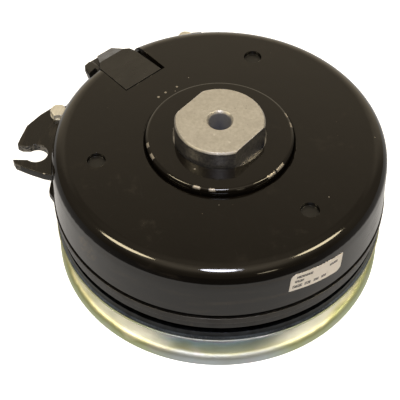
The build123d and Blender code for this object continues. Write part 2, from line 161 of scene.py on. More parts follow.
class Graph(Nodes):
    """One material's node tree. Its lengths are in millimetres."""

    def __init__(self, name):
        self.material = bpy.data.materials.new(name)
        self.material.use_nodes = True
        super().__init__(self.material.node_tree)
        self.shader = self.node("BsdfPrincipled")
        output = self.node("OutputMaterial")
        self.join(self.shader.outputs["BSDF"], output.inputs["Surface"])
        position = self.node("TexCoord").outputs["Object"]
        self.place = self.vector("MULTIPLY", position, (1 / MM, 1 / MM, 1 / MM))
        self.x, self.y, self.z = self.node("SeparateXYZ", self.place).outputs
        flat = self.vector("MULTIPLY", self.place, (1, 1, 0))
        self.radius = self.node("VectorMath", flat, operation="LENGTH").outputs["Value"]
        self.heading = self.vector("NORMALIZE", flat)
        self.angle = self.math("ARCTAN2", self.y, self.x)

    def set(self, **values):
        """Set sockets of the surface shader by name, with _ for a space."""
        for key, value in values.items():
            self.join(value, self.shader.inputs[key.replace("_", " ")])
        return self

    def between(self, value, low, high, soft):
        """1 where value lies between two limits, with soft ends."""
        rise = self.fade(value, low - soft, low + soft)
        return self.math("MULTIPLY", rise, self.fade(value, high - soft, high + soft, 1.0, 0.0))

    def noise(self, size, detail=2.0, rough=0.5, place=None):
        """Cloudy noise with features of about that size."""
        made = self.node("TexNoise", self.place if place is None else place)
        self.join(1 / size, made.inputs["Scale"])
        self.join(detail, made.inputs["Detail"])
        self.join(rough, made.inputs["Roughness"])
        return made.outputs[0]

    def cells(self, size, place=None):
        """Distance to the nearest of scattered points, in millimetres, and a random value for each."""
        made = self.node("TexVoronoi", self.place if place is None else place)
        self.join(1 / size, made.inputs["Scale"])
        distance = self.math("MULTIPLY", made.outputs["Distance"], size)
        return distance, self.node("SeparateColor", made.outputs["Color"]).outputs[0]

    def blend(self, share, first, second):
        """Number between two numbers."""
        made = self.node("Mix", data_type="FLOAT")
        self.join(share, made.inputs[0])
        self.join(first, made.inputs[2])
        self.join(second, made.inputs[3])
        return made.outputs[0]

    def most(self, *masks):
        """The strongest of some masks."""
        strongest = masks[0]
        for mask in masks[1:]:
            strongest = self.math("MAXIMUM", strongest, mask)
        return strongest

    def turned(self, along, across):
        """Coordinates for marks that run round the axis: long along it, fine across it."""
        lengthwise = self.vector("MULTIPLY", self.heading, (1 / along, 1 / along, 0))
        third = self.math("DIVIDE", self.math("ADD", self.radius, self.z), across)
        return self.vector("ADD", lengthwise, self.node("CombineXYZ", 0.0, 0.0, third).outputs[0])

    def stretched(self, tilt, along, across):
        """Coordinates for marks in one direction of the XY plane."""
        turn = self.node("VectorRotate", self.place, rotation_type="Z_AXIS")
        turn.inputs["Angle"].default_value = radians(tilt)
        return self.vector("MULTIPLY", turn.outputs[0], (1 / along, 1 / across, 1 / across))

    def specks(self, size, spacing, share):
        """Small scattered dots, in a share of the cells."""
        distance, chance = self.cells(spacing)
        dot = self.fade(distance, size * 0.5, size, 1.0, 0.0)
        return self.math("MULTIPLY", dot, self.math("LESS_THAN", chance, share))

    def scratches(self, amount=0.0):
        """Sparse hairline scratches in three directions."""
        lines = []
        for tilt, along in ((20, 11), (75, 16), (-50, 8)):
            streak = self.noise(1.0, 0.0, place=self.stretched(tilt, along, 0.22))
            lines.append(self.fade(streak, 0.84 - amount, 0.88))
        return self.most(*lines)

    def edges(self, width):
        """1 along the sharp edges of the shape, over about that width."""
        rounded = self.node("Bevel", width * MM, samples=4).outputs[0]
        plain = self.node("NewGeometry").outputs["Normal"]
        facing = self.node("VectorMath", rounded, plain, operation="DOT_PRODUCT").outputs["Value"]
        return self.fade(facing, 0.985, 0.90)

    def spot(self, x, y, z, size, ragged=0.5):
        """Ragged mark round one point."""
        away = self.node("VectorMath", self.place, (x, y, z), operation="DISTANCE").outputs["Value"]
        edge = self.math("MULTIPLY_ADD", self.noise(size * 0.8), ragged * size, size * (1 - ragged))
        return self.fade(self.math("SUBTRACT", edge, away), -0.1, 0.15)

    def bump(self, *layers):
        """Bump from (height, depth) layers, each depth in millimetres."""
        normal = None
        for height, depth in layers:
            made = self.node("Bump")
            self.join(1.0, made.inputs["Strength"])
            self.join(depth * MM, made.inputs["Distance"])
            self.join(height, made.inputs["Height"])
            self.join(normal, made.inputs["Normal"])
            normal = made.outputs[0]
        return self.set(Normal=normal)


def grey(value, warm=0.0):
    """Grey colour, a little warmer or colder."""
    return (value * (1 + warm), value, value * (1 - warm), 1.0)


def times(colour, factor):
    """Darker or lighter colour."""
    return tuple(channel * factor for channel in colour[:3]) + (1.0,)


# ---------------------------------------------------------------- finishes

# Light specks on the shell's flat top: x, y and size
TOP_SPECKS = (
    (-32.5, 31.0, 0.9), (-28.8, 34.4, 0.85), (-22.7, 38.8, 0.8), (-23.6, 35.5, 0.35), (-16.4, 45.8, 0.35),
    (-23.4, -26.6, 0.3), (15.4, -26.6, 0.3), (-0.8, -44.4, 0.3), (81.0, 1.6, 0.45), (54.2, -39.2, 0.4),
)
# Chips on the rim of the raised centre: direction in degrees and half width
RIM_CHIPS = (
    (-168.6, 1.6), (-156.1, 1.9), (-108.3, 1.7), (-96.4, 1.4), (-47.0, 2.6), (-37.0, 2.8), (10.0, 1.6),
    (21.5, 1.5),
)
RIM_RADIUS = 38.0
WALL_RADIUS = 87.0
# Heights where the wall starts to turn in under the shell's shoulder, and where it is fully turned
WALL_TURN = (62.5, 69.5)
WALL_SMUDGE = (-67.0, -57.0, 58.0)
WALL_SMUDGE_SIZE = 11.0


def paint(name, marks=(), wear=0.5, gloss=0.06):
    """Baked black gloss paint with a little orange peel, smudges, dust and worn edges."""
    g = Graph(name)
    cloud = g.noise(26.0, 3.0)
    smear = g.noise(9.0, 4.0, 0.6)
    dust = g.specks(0.20, 5.5, 0.35)
    lint = g.specks(0.32, 15.0, 0.4)
    scratch = g.scratches()
    on_wall = g.fade(g.radius, WALL_RADIUS - 1.0, WALL_RADIUS + 1.0)
    base = g.mix(cloud, (0.0022, 0.0016, 0.0011, 1), (0.0040, 0.0029, 0.0019, 1))
    film = g.math("MULTIPLY", g.fade(smear, 0.55, 0.72), g.fade(g.noise(30.0), 0.45, 0.65))
    base = g.mix(g.math("MULTIPLY", film, 0.025), base, (0.16, 0.13, 0.09, 1))
    base = g.mix(g.math("MULTIPLY", g.most(dust, lint), 0.38), base, (0.22, 0.18, 0.13, 1))
    base = g.mix(g.math("MULTIPLY", scratch, 0.02), base, grey(0.30))
    bare = g.math("MULTIPLY", g.edges(0.5), g.fade(g.noise(2.2, 3.0, 0.6), 0.66 - 0.22 * wear, 0.72))
    bare = g.most(bare, *[mark(g) for mark in marks])
    base = g.mix(g.math("MULTIPLY", bare, 0.8), base, (0.40, 0.37, 0.32, 1))
    rough = g.blend(g.fade(smear, 0.35, 0.7), gloss, gloss + 0.05)
    rough = g.blend(g.math("MULTIPLY", g.most(film, dust), 0.5), rough, 0.40)
    rough = g.blend(bare, rough, 0.45)
    rub = g.noise(1.0, 4.0, 0.6, g.turned(0.30, 3.0))
    rubbed = g.math("MULTIPLY", g.fade(rub, 0.50, 0.75), on_wall)
    base = g.mix(g.math("MULTIPLY", rubbed, 0.10), base, (0.22, 0.17, 0.11, 1))
    smudge = g.math("MULTIPLY", g.spot(*WALL_SMUDGE, WALL_SMUDGE_SIZE, 0.75), on_wall)
    smudge = g.math("MULTIPLY", smudge, g.fade(g.noise(2.4, 4.0, 0.65), 0.42, 0.66))
    base = g.mix(g.math("MULTIPLY", smudge, 0.22), base, (0.26, 0.19, 0.10, 1))
    rough = g.blend(g.math("MULTIPLY", smudge, 0.4), rough, 0.35)
    rough = g.blend(g.math("MULTIPLY", rubbed, 0.5), rough, 0.45)
    g.set(Base_Color=base, Roughness=rough, Metallic=g.math("MULTIPLY", bare, 0.7))
    line = g.noise(1.0, 2.0, 0.5, g.turned(0.35, 1.3))
    turn_in = g.math("MULTIPLY", g.fade(g.z, *WALL_TURN), on_wall)
    return g.bump((g.noise(11.0, 1.0), 0.014), (g.noise(1.8, 1.0), 0.0025), (turn_in, -0.16),
                  (g.math("MULTIPLY", line, on_wall), 0.010), (bare, -0.03), (scratch, -0.002)).material


def top_marks(g):
    """Light specks of bare metal on the cup's flat top."""
    return g.most(*[g.spot(x, y, SHELL_TOP, size) for x, y, size in TOP_SPECKS])


def rim_marks(g):
    """Chips along the rim of the raised centre boss."""
    near_rim = g.between(g.radius, RIM_RADIUS - 0.7, RIM_RADIUS + 0.45, 0.2)
    at_rim = g.math("MULTIPLY", near_rim, g.fade(g.z, BOSS_TOP - 1.6, BOSS_TOP - 1.0))
    chips = []
    for direction, half_width in RIM_CHIPS:
        away = g.math("ABSOLUTE", g.math("SUBTRACT", g.angle, radians(direction)))
        away = g.math("MULTIPLY", away, RIM_RADIUS)
        ragged = g.math("MULTIPLY_ADD", g.noise(0.9, 3.0), 2.4, away)
        chips.append(g.fade(ragged, half_width + 0.8, half_width + 1.6, 1.0, 0.0))
    speck = g.spot(-12.9, -24.3, BOSS_TOP, 0.75)
    return g.most(g.math("MULTIPLY", at_rim, g.most(*chips)), speck)


def slot_marks(g):
    """Pale metal on the walls of the bracket's slot, and a painted highlight: a pale metal spot on the
    bracket's top by its near edge.
    """
    inside = g.math("MULTIPLY", g.between(g.y, -5.5, 9.5, 0.4), g.between(g.x, -112.0, -91.0, 1.0))
    below = g.fade(g.z, BRACKET_TOP - 0.1, BRACKET_TOP - 0.4)
    patch = g.fade(g.noise(1.6, 3.0, 0.6), 0.42, 0.56, 0.0, 0.8)
    rubbed = g.math("MULTIPLY", g.math("MULTIPLY", inside, below), patch)
    # Painted highlight: this spot lightens the bracket's top where its edge shines
    return g.most(rubbed, g.spot(-92.0, -11.1, BRACKET_TOP, 0.8))


# Colours of the zinc film from FILM_START outwards, over FILM_WIDTH, in millimetres
FILM_START = 70.0
FILM_WIDTH = 20.0
# Film on the sides, painted paler than the zinc's own colour as painted light
LIT_SIDE_FILM = (
    (0.0, (0.56, 0.56, 0.44, 1)), (0.40, (0.90, 0.90, 0.92, 1)), (0.76, (0.90, 0.92, 0.85, 1)),
    (0.85, (0.80, 0.80, 0.56, 1)), (0.92, (0.46, 0.50, 0.28, 1)), (1.0, (0.50, 0.57, 0.38, 1)),
)
# Film on the front, facing the camera: the chromate's violet and teal, painted darker and more olive as
# painted shade
SHADED_FRONT_FILM = (
    (0.0, (0.56, 0.56, 0.44, 1)), (0.44, (0.76, 0.70, 0.90, 1)), (0.54, (0.60, 0.76, 0.80, 1)),
    (0.66, (0.46, 0.50, 0.40, 1)), (0.80, (0.40, 0.40, 0.26, 1)), (0.88, (0.44, 0.47, 0.46, 1)),
    (1.0, (0.52, 0.58, 0.61, 1)),
)


def zinc(name):
    """Yellow chromate over zinc: pale inside, olive towards the rim, violet and teal on its front. Its film
    is painted paler on the sides as painted light and darker on the front as painted shade.
    """
    g = Graph(name)
    drift = g.noise(1.0, 2.0, 0.5, g.turned(0.9, 16.0))
    cloud = g.noise(16.0, 2.0, 0.5)
    outward = g.math("DIVIDE", g.math("SUBTRACT", g.radius, FILM_START), FILM_WIDTH)
    wander = g.math("MULTIPLY", g.math("SUBTRACT", g.math("ADD", drift, cloud), 1.0), 0.30)
    place = g.math("ADD", outward, wander)
    # Painted light and shade: the film goes from the pale side colours to the darker front colours as the
    # surface turns to face the camera
    front = g.fade(g.node("SeparateXYZ", g.heading).outputs[1], -0.89, -0.98)
    film = g.mix(front, g.ramp(place, *LIT_SIDE_FILM), g.ramp(place, *SHADED_FRONT_FILM))
    patch = g.noise(1.0, 2.0, 0.5, g.turned(0.5, 30.0))
    film = g.mix(g.fade(patch, 0.52, 0.68, 0.0, 0.3), film, (0.70, 0.68, 0.48, 1))
    violet = g.math("MULTIPLY", g.fade(g.noise(10.0, 2.0, 0.5), 0.55, 0.70), 0.25)
    film = g.mix(violet, film, (0.60, 0.52, 0.58, 1))
    line = g.noise(1.0, 2.0, 0.6, g.turned(1.2, 0.35))
    # Part wear, part painted highlight: bare zinc along the edges is lightened to a bluish white that also
    # stands in for the lip's highlight line
    bare = g.math("MULTIPLY", g.edges(0.6), g.fade(g.noise(3.0, 3.0), 0.35, 0.55))
    film = g.mix(g.math("MULTIPLY", g.fade(line, 0.5, 0.8), 0.08), film, (0.36, 0.36, 0.26, 1))
    film = g.mix(g.math("MULTIPLY", bare, 0.7), film, (0.72, 0.70, 0.78, 1))
    blot = g.specks(0.30, 12.0, 0.2)
    film = g.mix(g.math("MULTIPLY", blot, 0.3), film, (0.30, 0.26, 0.14, 1))
    rough = g.blend(g.fade(g.noise(5.0, 3.0), 0.3, 0.7), 0.31, 0.40)
    rough = g.blend(g.fade(g.radius, 84.5, 87.0), rough, 0.50)
    g.set(Base_Color=film, Metallic=1.0, Roughness=rough)
    return g.bump((g.noise(9.0, 2.0), 0.015), (line, 0.002), (g.noise(0.7, 2.0), 0.002)).material


def steel(name, colour, rough=0.35, lines=0.008, stained=0.25, polish=0.4, metal=1.0):
    """Steel with tool marks round the axis, stains and polished edges."""
    g = Graph(name)
    line = g.noise(1.0, 2.0, 0.6, g.turned(1.2, 0.22))
    cloud = g.noise(11.0, 4.0, 0.6)
    grain = g.noise(0.8, 2.0)
    base = g.mix(g.fade(cloud, 0.35, 0.7), colour, times(colour, 0.72))
    base = g.mix(g.math("MULTIPLY", g.fade(line, 0.45, 0.8), 0.3), base, grey(0.08))
    mark = g.math("MULTIPLY", g.fade(g.noise(4.0, 5.0, 0.65), 0.56, 0.72), stained)
    base = g.mix(mark, base, (0.10, 0.075, 0.05, 1))
    shine = g.math("MULTIPLY", g.edges(0.45), polish)
    base = g.mix(shine, base, grey(0.78, 0.02))
    value = g.blend(g.fade(grain, 0.3, 0.7), rough - 0.05, rough + 0.08)
    value = g.blend(mark, value, 0.75)
    value = g.blend(shine, value, 0.22)
    g.set(Base_Color=base, Metallic=g.blend(mark, metal, 0.4), Roughness=value)
    return g.bump((g.noise(5.0, 2.0), 0.02), (line, lines), (grain, 0.004)).material


# Bright dents on the hub's end: x, y and size
HUB_DENTS = ((-3.0, -10.2, 0.9), (4.6, -15.4, 1.0))
HUB_HOLE_RADIUS = 5.75
# Direction that one of the hub's two flats faces, in degrees
FLATS_DIRECTION = -40.7


def hub_steel(name):
    """Sintered steel of the hub, mottled, with small pits. Upward faces are painted a lit cream grey as
    painted light and the sides a darker grey as painted shade.
    """
    g = Graph(name)
    # Painted light and shade: faces that point up get the lit top colours, faces that point sideways the
    # shaded side colours
    up = g.node("SeparateXYZ", g.node("NewGeometry").outputs["Normal"]).outputs[2]
    flat = g.fade(up, 0.5, 0.9)
    mottle = g.noise(1.6, 5.0, 0.65)
    cloud = g.noise(9.0, 4.0, 0.6)
    top = g.ramp(mottle, (0.30, (0.39, 0.37, 0.32, 1)), (0.50, (0.46, 0.44, 0.39, 1)),
                 (0.70, (0.52, 0.50, 0.45, 1)))
    top = g.mix(g.fade(cloud, 0.40, 0.65, 0.0, 0.35), top, (0.33, 0.31, 0.27, 1))
    side = g.ramp(mottle, (0.35, (0.11, 0.11, 0.12, 1)), (0.55, (0.19, 0.185, 0.18, 1)),
                  (0.70, (0.26, 0.25, 0.235, 1)))
    streak = g.noise(1.0, 2.0, 0.5, g.stretched(-FLATS_DIRECTION, 1.4, 0.5))
    side = g.mix(g.math("MULTIPLY", g.fade(streak, 0.5, 0.7), 0.4), side, (0.30, 0.28, 0.24, 1))
    base = g.mix(flat, side, top)
    hole = g.most(g.specks(0.26, 1.7, 0.35), g.specks(0.42, 6.0, 0.35))
    base = g.mix(g.math("MULTIPLY", hole, 0.45), base, (0.07, 0.06, 0.05, 1))
    dents = [g.spot(x, y, HUB_TOP, size) for x, y, size in HUB_DENTS]
    scratch = g.most(g.scratches(0.02), *dents)
    base = g.mix(g.math("MULTIPLY", scratch, 0.55), base, (0.62, 0.60, 0.55, 1))
    # Part polish, part painted highlight: the edges are lightened to a bluish white like the front lamp's
    # highlight on the bevel
    shine = g.math("MULTIPLY", g.edges(0.5), g.fade(g.noise(2.5, 3.0), 0.30, 0.50))
    base = g.mix(g.math("MULTIPLY", shine, 0.8), base, (0.80, 0.80, 0.86, 1))
    # Painted light: the bore's wall is painted a pale bluish grey and made mostly non-metal, so that the hole
    # shows lit
    bore = g.fade(g.radius, HUB_HOLE_RADIUS + 0.45, HUB_HOLE_RADIUS - 0.15)
    base = g.mix(g.math("MULTIPLY", bore, 0.95), base, (0.17, 0.175, 0.20, 1))
    rough = g.blend(g.fade(cloud, 0.35, 0.65), 0.36, 0.46)
    rough = g.blend(shine, rough, 0.26)
    metal = g.math("MULTIPLY", g.blend(flat, 0.85, 0.5), g.fade(bore, 0.0, 1.0, 1.0, 0.2))
    g.set(Base_Color=base, Roughness=g.blend(hole, rough, 0.8), Metallic=metal)
    return g.bump((cloud, 0.02), (mottle, 0.008), (hole, -0.03), (scratch, -0.006)).material


def nylon(name, colour, rough=0.45, grain=0.02):
    """Moulded plastic with a fine grain, dust, faint flow marks and rubbed edges."""
    g = Graph(name)
    spark = g.noise(0.45, 2.0)
    flow = g.noise(1.0, 3.0, 0.55, g.stretched(-41.7, 18.0, 4.0))
    base = g.mix(g.fade(flow, 0.3, 0.7), colour, times(colour, 1.5))
    dust = g.most(g.specks(0.2, 2.6, 0.5), g.specks(0.4, 9.0, 0.3))
    base = g.mix(g.math("MULTIPLY", dust, 0.30), base, grey(0.30, 0.04))
    rub = g.math("MULTIPLY", g.edges(0.6), g.fade(g.noise(3.0), 0.35, 0.65))
    base = g.mix(g.math("MULTIPLY", rub, 0.12), base, grey(0.30, 0.03))
    value = g.blend(g.fade(g.noise(5.0, 3.0), 0.35, 0.7), rough - 0.07, rough + 0.08)
    g.set(Base_Color=base, Roughness=g.blend(rub, value, rough - 0.12))
    return g.bump((flow, 0.03), (spark, grain)).material


def rubber(name):
    """Black seal rubber with a dull, slightly greasy skin."""
    g = Graph(name)
    ring = g.noise(1.0, 2.0, 0.5, g.turned(1.0, 0.6))
    base = g.mix(g.noise(5.0, 3.0), (0.012, 0.011, 0.010, 1), (0.030, 0.027, 0.024, 1))
    base = g.mix(g.math("MULTIPLY", g.specks(0.3, 3.0, 0.5), 0.4), base, grey(0.16, 0.1))
    grease = g.fade(g.noise(6.0, 4.0, 0.6), 0.50, 0.62)
    g.set(Base_Color=base, Roughness=g.blend(grease, 0.62, 0.25))
    return g.bump((ring, 0.03), (g.noise(0.5, 2.0), 0.01)).material


def copper(name):
    """Enamelled wire wound in rows round the axis, with painted shade in the grooves between the turns."""
    g = Graph(name)
    pitch = 0.9
    turn = g.math("SINE", g.math("MULTIPLY", g.z, 2 * pi / pitch))
    layer = g.math("SINE", g.math("MULTIPLY", g.radius, 2 * pi / pitch))
    wire = g.math("ADD", turn, layer)
    base = g.mix(g.noise(6.0, 3.0), (0.36, 0.12, 0.05, 1), (0.56, 0.23, 0.10, 1))
    # Painted shade: the copper is darkened where the turns meet
    base = g.mix(g.fade(wire, -1.0, 0.0, 0.7, 0.0), base, (0.08, 0.02, 0.01, 1))
    g.set(Base_Color=base, Metallic=0.85, Roughness=g.blend(g.noise(2.0), 0.22, 0.38))
    g.set(Coat_Weight=0.5, Coat_Roughness=0.15)
    return g.bump((wire, 0.12), (g.noise(3.0), 0.03)).material


def resin(name):
    """Cast potting resin with small bubbles."""
    g = Graph(name)
    bubble = g.specks(0.5, 2.8, 0.5)
    base = g.mix(g.noise(8.0, 3.0), (0.012, 0.012, 0.014, 1), (0.030, 0.029, 0.030, 1))
    base = g.mix(g.math("MULTIPLY", bubble, 0.5), base, grey(0.10))
    g.set(Base_Color=base, Roughness=g.blend(g.noise(4.0, 3.0), 0.22, 0.42))
    return g.bump((g.noise(7.0), 0.10), (bubble, -0.12)).material


def mineral(name, dark, light, flecks, fleck_colour, rough):
    """Pressed mineral compound with flecks: the ferrite magnet and the friction lining."""
    g = Graph(name)
    base = g.mix(g.noise(1.4, 5.0, 0.7), dark, light)
    fleck = g.specks(0.5, 1.5, flecks)
    base = g.mix(g.math("MULTIPLY", fleck, 0.7), base, fleck_colour)
    line = g.noise(1.0, 2.0, 0.6, g.turned(1.4, 0.3))
    g.set(Base_Color=base, Roughness=g.blend(fleck, rough, rough - 0.3))
    return g.bump((g.noise(0.8, 4.0), 0.03), (line, 0.02)).material


# The label's direction and tilt in degrees, its middle's height and the wall's radius there
LABEL_DIRECTION = -57.4
LABEL_HEIGHT = 59.2
LABEL_TILT = -6.2
LABEL_RADIUS = 88.4
# Rows of blank bars in the label's own frame: left, right, middle height, height
LABEL_BARS = (
    (-12.6, -3.4, 3.2, 1.7), (-13.4, -8.2, 0.2, 1.7), (-14.2, -8.8, -3.2, 2.0), (-7.4, -4.0, -3.2, 2.0),
    (-2.2, 1.0, -3.2, 1.8), (2.6, 5.6, -3.2, 1.8), (7.2, 12.4, 2.6, 1.7),
)
BAR_BLUR = 0.12


def label(name):
    """Cream printed film with rows of blank grey bars, a little dirt and lifted edges."""
    g = Graph(name)
    across = g.math("MULTIPLY", g.math("SUBTRACT", g.angle, radians(LABEL_DIRECTION)), LABEL_RADIUS)
    up = g.math("SUBTRACT", g.z, LABEL_HEIGHT)
    turn = g.node("VectorRotate", g.node("CombineXYZ", across, up, 0.0).outputs[0], rotation_type="Z_AXIS")
    turn.inputs["Angle"].default_value = radians(-LABEL_TILT)
    u, v, _ = g.node("SeparateXYZ", turn.outputs[0]).outputs
    flat = g.node("CombineXYZ", g.math("DIVIDE", u, 0.55), g.math("DIVIDE", v, 0.9), 0.0).outputs[0]
    broken = g.fade(g.noise(1.0, 1.0, place=flat), 0.36, 0.46)
    bars = []
    for left, right, middle, height in LABEL_BARS:
        row = g.between(v, middle - height / 2, middle + height / 2, BAR_BLUR)
        bars.append(g.math("MULTIPLY", g.between(u, left, right, BAR_BLUR), row))
    ink = g.math("MULTIPLY", g.most(*bars), broken)
    dirt = g.fade(g.noise(5.0, 5.0, 0.65), 0.50, 0.75)
    base = g.mix(g.math("MULTIPLY", dirt, 0.5), (0.90, 0.85, 0.78, 1), (0.62, 0.57, 0.49, 1))
    base = g.mix(g.math("MULTIPLY", ink, 0.95), base, (0.06, 0.06, 0.06, 1))
    base = g.mix(g.math("MULTIPLY", g.edges(0.4), 0.35), base, (0.30, 0.26, 0.21, 1))
    g.set(Base_Color=base, Roughness=g.blend(dirt, 0.38, 0.62))
    return g.bump((g.noise(3.0, 3.0), 0.03), (ink, 0.004)).material


def thin_paint(name):
    """Thin blue black paint over the drive plate, with a painted highlight: a paler blue grey band along its
    lower edge, streaked and speckled with painted glints.
    """
    g = Graph(name)
    cloud = g.noise(6.0, 3.0)
    base = g.mix(g.fade(cloud, 0.35, 0.65), (0.011, 0.012, 0.014, 1), (0.024, 0.027, 0.032, 1))
    # Painted highlight: the front lamp's reflection on the plate's lower edge is painted in as a blue grey
    # band; worn only gives its streaks, and spark its glints
    low_edge = g.fade(g.z, PLATE_BOTTOM + 2.4, PLATE_BOTTOM + 0.4)
    edge = g.math("MULTIPLY", low_edge, g.fade(g.radius, WALL_RADIUS, WALL_RADIUS + 0.8))
    worn = g.fade(g.noise(1.0, 3.0, 0.6, g.turned(0.25, 4.0)), 0.35, 0.65, 0.25, 0.8)
    base = g.mix(g.math("MULTIPLY", edge, worn), base, (0.19, 0.225, 0.275, 1))
    spark = g.math("MULTIPLY", g.fade(g.noise(0.7, 2.0), 0.58, 0.68), edge)
    base = g.mix(g.math("MULTIPLY", spark, 0.5), base, (0.50, 0.52, 0.56, 1))
    g.set(Base_Color=base, Metallic=1.0, Roughness=g.blend(g.noise(3.0, 3.0), 0.30, 0.42))
    return g.bump((cloud, 0.02), (g.noise(0.8, 2.0), 0.006)).material


FINISHES = {
    "black_paint": lambda name: paint(name, (top_marks,), 0.35),
    "black_paint_pole": lambda name: paint(name, (rim_marks,), 0.45),
    "black_paint_bracket": lambda name: paint(name, (slot_marks,), 0.9, 0.24),
    "black_paint_plate": thin_paint,
    "yellow_zinc": zinc,
    "bolt_zinc": lambda name: steel(name, (0.80, 0.77, 0.66, 1), 0.50, 0.004, 0.15, 0.6, metal=0.55),
    "clear_zinc": lambda name: steel(name, (0.55, 0.56, 0.56, 1), 0.32, 0.004, 0.2, 0.6),
    "rivet_steel": lambda name: steel(name, (0.30, 0.29, 0.28, 1), 0.38, 0.004, stained=0.4),
    "phosphated_steel": lambda name: steel(name, (0.050, 0.049, 0.048, 1), 0.36, 0.006, 0.3, 0.15),
    "rotor_steel": lambda name: steel(name, (0.056, 0.053, 0.050, 1), 0.36, 0.006, 0.3, 0.15),
    "machined_hub": hub_steel,
    "machined_steel": lambda name: steel(name, (0.42, 0.40, 0.37, 1), 0.32, 0.012),
    "spring_steel": lambda name: steel(name, (0.16, 0.16, 0.17, 1), 0.30, 0.004),
    "bearing_steel": lambda name: steel(name, (0.58, 0.57, 0.56, 1), 0.18, 0.004, stained=0.1),
    "bearing_ball": lambda name: steel(name, (0.70, 0.70, 0.70, 1), 0.10, 0.001, stained=0.05),
    "cage_steel": lambda name: steel(name, (0.42, 0.41, 0.39, 1), 0.34, 0.004),
    "terminal_brass": lambda name: steel(name, (0.62, 0.46, 0.20, 1), 0.28, 0.004, stained=0.3),
    "seal_rubber": rubber,
    "copper_wire": copper,
    "lead_insulation": lambda name: nylon(name, (0.25, 0.02, 0.015, 1), 0.5),
    "bobbin_nylon": lambda name: nylon(name, (0.004, 0.0036, 0.003, 1), 0.36, 0.008),
    "connector_nylon": lambda name: nylon(name, (0.0105, 0.0098, 0.0086, 1), 0.34, 0.006),
    "potting_resin": resin,
    "magnet_ceramic": lambda name: mineral(name, grey(0.030), grey(0.075), 0.3, grey(0.16), 0.6),
    "friction_lining": lambda name: mineral(name, (0.05, 0.035, 0.025, 1), (0.14, 0.10, 0.07, 1), 0.5,
                                            (0.45, 0.33, 0.15, 1), 0.85),
    "label_film": label,
}
finished = {}


def finish_of(slot_name):
    """The material of a slot, made once."""
    if slot_name not in finished:
        finished[slot_name] = FINISHES[slot_name]("look_" + slot_name)
    return finished[slot_name]


# ---------------------------------------------------------------- shapes

def new_piece(name, mesh, slot_name):
    """Object for a finished mesh, with its slot and material."""
    piece = bpy.data.objects.new(name, mesh)
    bpy.context.scene.collection.objects.link(piece)
    mesh.materials.clear()
    mesh.materials.append(finish_of(slot_name))
    return piece


def shade(piece):
    """Smooth shading that keeps flat faces flat."""
    for face in piece.data.polygons:
        face.use_smooth = True
    modifier = piece.modifiers.new("flat_faces", "WEIGHTED_NORMAL")
    modifier.weight = 50
    modifier.keep_sharp = False


def slot_of(node):
    """The record's slot of a CAD node, which its imported material is named after."""
    return frame["nodes"][node].material_slots[0].material.name.split(".")[0]


# Points closer than this are one, and faces turned less than this are one, in millimetres and degrees
SAME_POINT = 0.002
SAME_FACE = 0.3
# Edges turned more than this are sharp, in degrees
SHARP_EDGE = 28


def softened(node, width):
    """Copy of a CAD node with its sharp edges rounded, shown in its place."""
    source = frame["nodes"][node]
    slot_name = slot_of(node)
    bm = bmesh.new()
    made = [bm.verts.new(vertex.co) for vertex in source.data.vertices]
    for face in source.data.polygons:
        bm.faces.new([made[index] for index in face.vertices])
    bmesh.ops.remove_doubles(bm, verts=bm.verts, dist=SAME_POINT * MM)
    bmesh.ops.dissolve_limit(bm, angle_limit=radians(SAME_FACE), verts=bm.verts, edges=bm.edges)
    inner = [edge for edge in bm.edges if edge.is_manifold]
    sharp = [edge for edge in inner if edge.calc_face_angle(0.0) > radians(SHARP_EDGE)]
    bmesh.ops.bevel(bm, geom=sharp, offset=width * MM, segments=2, profile=0.5, affect="EDGES",
                    clamp_overlap=True)
    mesh = bpy.data.meshes.new(node + "_shape")
    bm.to_mesh(mesh)
    bm.free()
    piece = new_piece(node + "_finished", mesh, slot_name)
    shade(piece)
    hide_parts(node)
    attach(piece, source["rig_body"])
    return piece


# How far each visible piece's sharp edges are rounded, in millimetres
ROUNDED = {
    "field_shell": 0.35,
    "inner_pole": 0.25,
    "connector_housing": 0.45,
    "torque_bracket": 0.40,
    "brake_bolts": 0.22,
    "brake_spacers": 0.25,
    "brake_shims": 0.12,
    "brake_pole": 0.35,
    "rotor_hub": 0.35,
    "rotor_disc": 0.30,
    "armature_plate": 0.30,
    "drive_plate": 0.30,
    "pulley_lower_half": 0.25,
    "pulley_upper_half": 0.25,
    "pulley_hub": 0.25,
}
for node_name, width in ROUNDED.items():
    softened(node_name, width)


# ---------------------------------------------------------------- leaf springs and weld beads

def grid_piece(name, rows, slot_name):
    """Closed object skinned over rows of points. Each row is a loop of points in metres."""
    bm = bmesh.new()
    loops = [[bm.verts.new(point) for point in row] for row in rows]
    count = len(rows[0])
    for first, second in zip(loops, loops[1:]):
        for index in range(count):
            after = (index + 1) % count
            bm.faces.new((first[index], first[after], second[after], second[index]))
    bm.faces.new(loops[0])
    bm.faces.new(loops[-1])
    bmesh.ops.recalc_face_normals(bm, faces=bm.faces)
    mesh = bpy.data.meshes.new(name + "_shape")
    bm.to_mesh(mesh)
    bm.free()
    return new_piece(name, mesh, slot_name)


SPRING_CIRCLE = 64.0
SPRING_REACH = 27.0
SPRING_HALF_WIDTH = 6.0
SPRING_THICKNESS = 0.8
SPRING_LOW = bottom_of("leaf_springs")
SPRING_HIGH = top_of("leaf_springs") - SPRING_THICKNESS
# Half the length of the S bend, the broken edge's width, and half the width of the very tip
SPRING_BEND = 12.0
SPRING_EDGE = 0.15
SPRING_TIP = 0.4
SPRING_STEPS = 56
SPRING_DIRECTIONS = (30, 150, 270)


def spring_profile(half):
    """Cross section of a leaf with broken edges, as points across and up."""
    side = half - SPRING_EDGE
    top = SPRING_THICKNESS
    lower = [(-side, 0), (side, 0), (half, SPRING_EDGE)]
    upper = [(half, top - SPRING_EDGE), (side, top), (-side, top), (-half, top - SPRING_EDGE)]
    return lower + upper + [(-half, SPRING_EDGE)]


